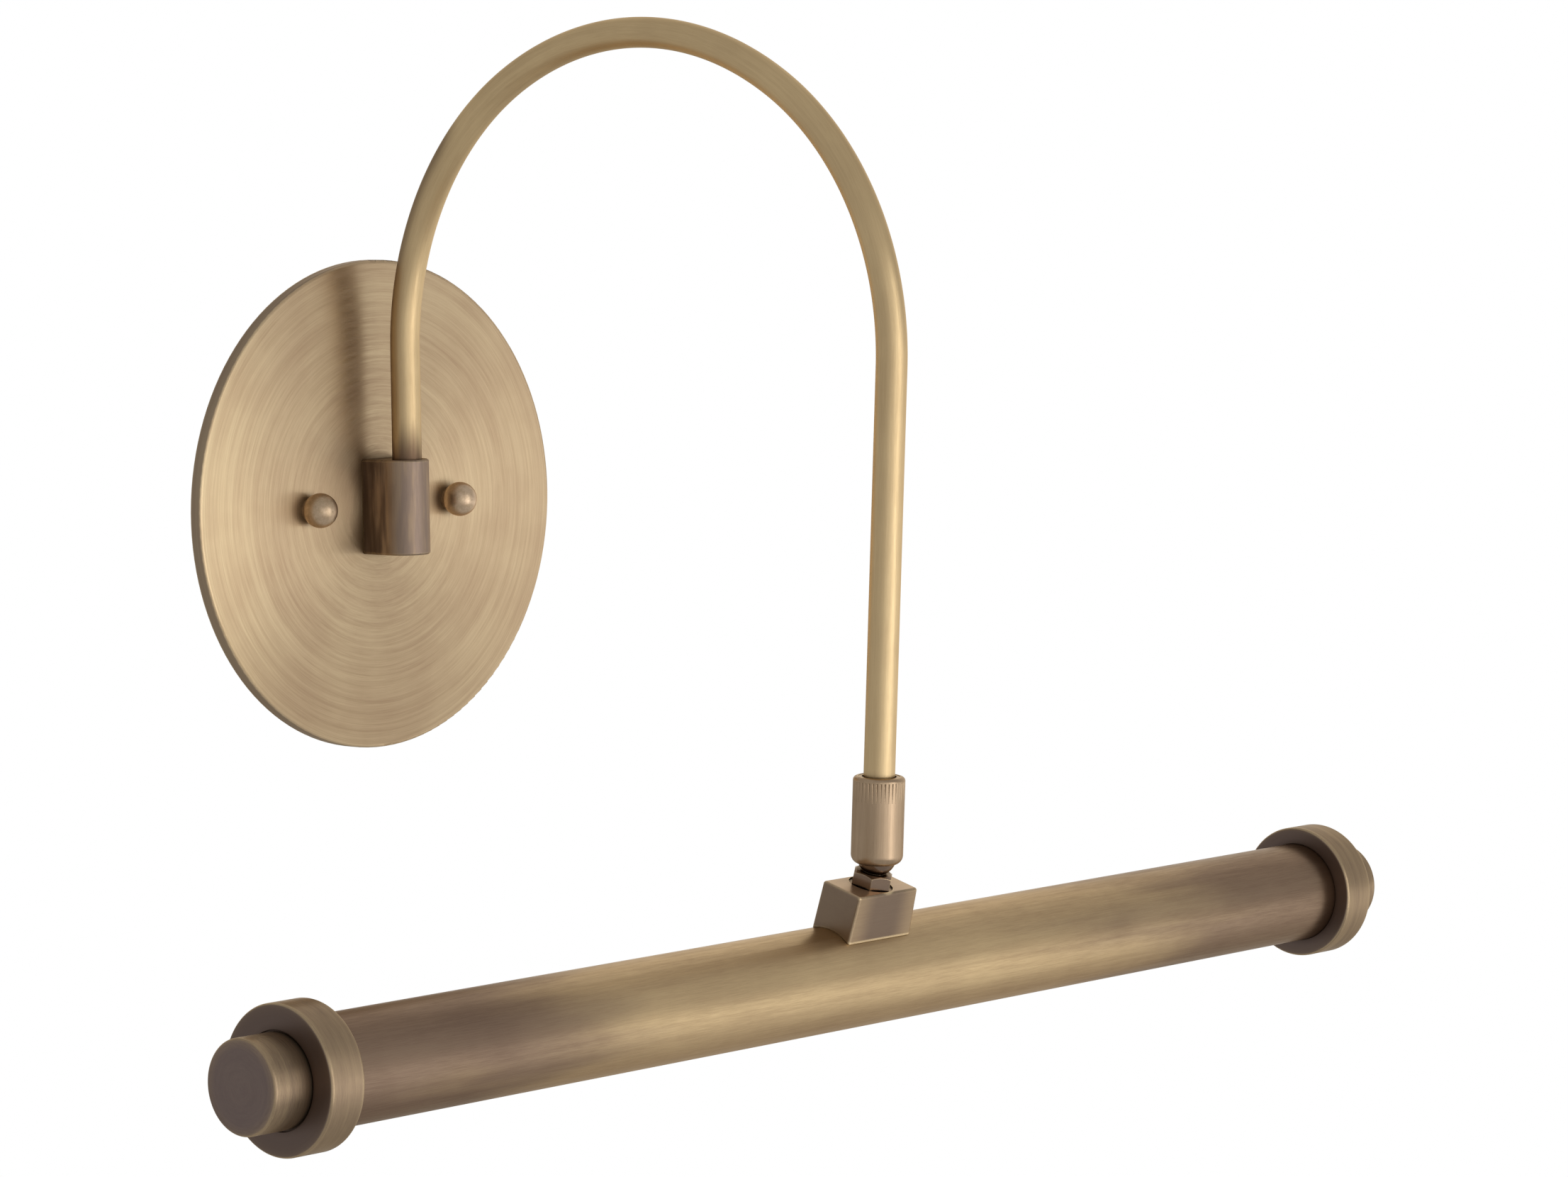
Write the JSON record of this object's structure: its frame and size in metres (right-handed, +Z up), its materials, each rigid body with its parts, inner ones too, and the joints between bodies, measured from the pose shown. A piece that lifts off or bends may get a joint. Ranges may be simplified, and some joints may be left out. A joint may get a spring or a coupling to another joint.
{
  "type": "picture light",
  "caption": "Wall-mounted picture light: round plate, swan-neck arm, and a long lamp tube that tilts on a locking ball swivel.",
  "frame": {"origin": "centre of the mounting bar's two wall-screw slots, on the wall plane", "axes": "the wall is the XZ plane and the light stands out along -Y; X runs along the lamp tube; +Z is up"},
  "size_m": [0.48, 0.2157, 0.2957],
  "materials": {
    "aged_brass": "aged brass, fine brushed grain, clear lacquer",
    "dark_bronze": "darkened brass with lighter worn edges",
    "zinc_steel": "zinc-plated steel",
    "spring_steel": "tempered spring steel, oiled",
    "friction_liner": "pale acetal, matt",
    "aluminium": "plain extruded aluminium",
    "white_board": "white solder mask",
    "led_phosphor": "yellow phosphor under clear resin",
    "opal": "opal diffusing plastic, satin",
    "driver_case": "dark grey moulded case"
  },
  "bodies": {
    "bracket": {"backplate": "aged_brass", "mounting_bar": "zinc_steel", "bar_studs": "zinc_steel", "ball_nuts": "dark_bronze", "arm_socket": "dark_bronze", "socket_nipple": "dark_bronze", "tooth_washer": "spring_steel", "nipple_locknut": "dark_bronze", "arm_grub_screw": "spring_steel", "arm_tube": "aged_brass", "arm_bush": "dark_bronze", "disc_spring": "spring_steel"},
    "lock_barrel": {"swivel_barrel": "aged_brass"},
    "swivel_seat": {"seat_ring": "dark_bronze"},
    "ball_liner": {"ball_liner": "friction_liner"},
    "head": {"ball_stem": "dark_bronze", "saddle_block": "dark_bronze", "saddle_washer": "dark_bronze", "stem_locknut": "dark_bronze", "lamp_tube": "aged_brass", "end_plug_left": "dark_bronze", "end_plug_right": "dark_bronze", "end_ring_left": "dark_bronze", "end_ring_right": "dark_bronze", "end_knob_left": "dark_bronze", "end_knob_right": "dark_bronze", "led_carrier": "aluminium", "led_board": "white_board", "led_chips": "led_phosphor", "diffuser": "opal", "led_driver": "driver_case"}
  },
  "joints": [
    {"name": "barrel_turn", "type": "hinge", "parent": "bracket", "child": "lock_barrel", "pos_m": [0, -0.20343, -0.09361], "axis": [0, -0.0541, 0.9985], "range_deg": [-90, 0]},
    {"name": "head_pan", "type": "hinge", "parent": "bracket", "child": "swivel_seat", "pos_m": [0, -0.20343, -0.09361], "axis": [0, -0.0541, 0.9985], "range_deg": [-45, 45]},
    {"name": "head_roll", "type": "hinge", "parent": "swivel_seat", "child": "ball_liner", "pos_m": [0, -0.20343, -0.09361], "axis": [0, 0.9985, 0.0541], "range_deg": [-12, 12]},
    {"name": "head_tilt", "type": "hinge", "parent": "ball_liner", "child": "head", "pos_m": [0, -0.20343, -0.09361], "axis": [1, 0, 0], "range_deg": [-36, 10]}
  ]
}
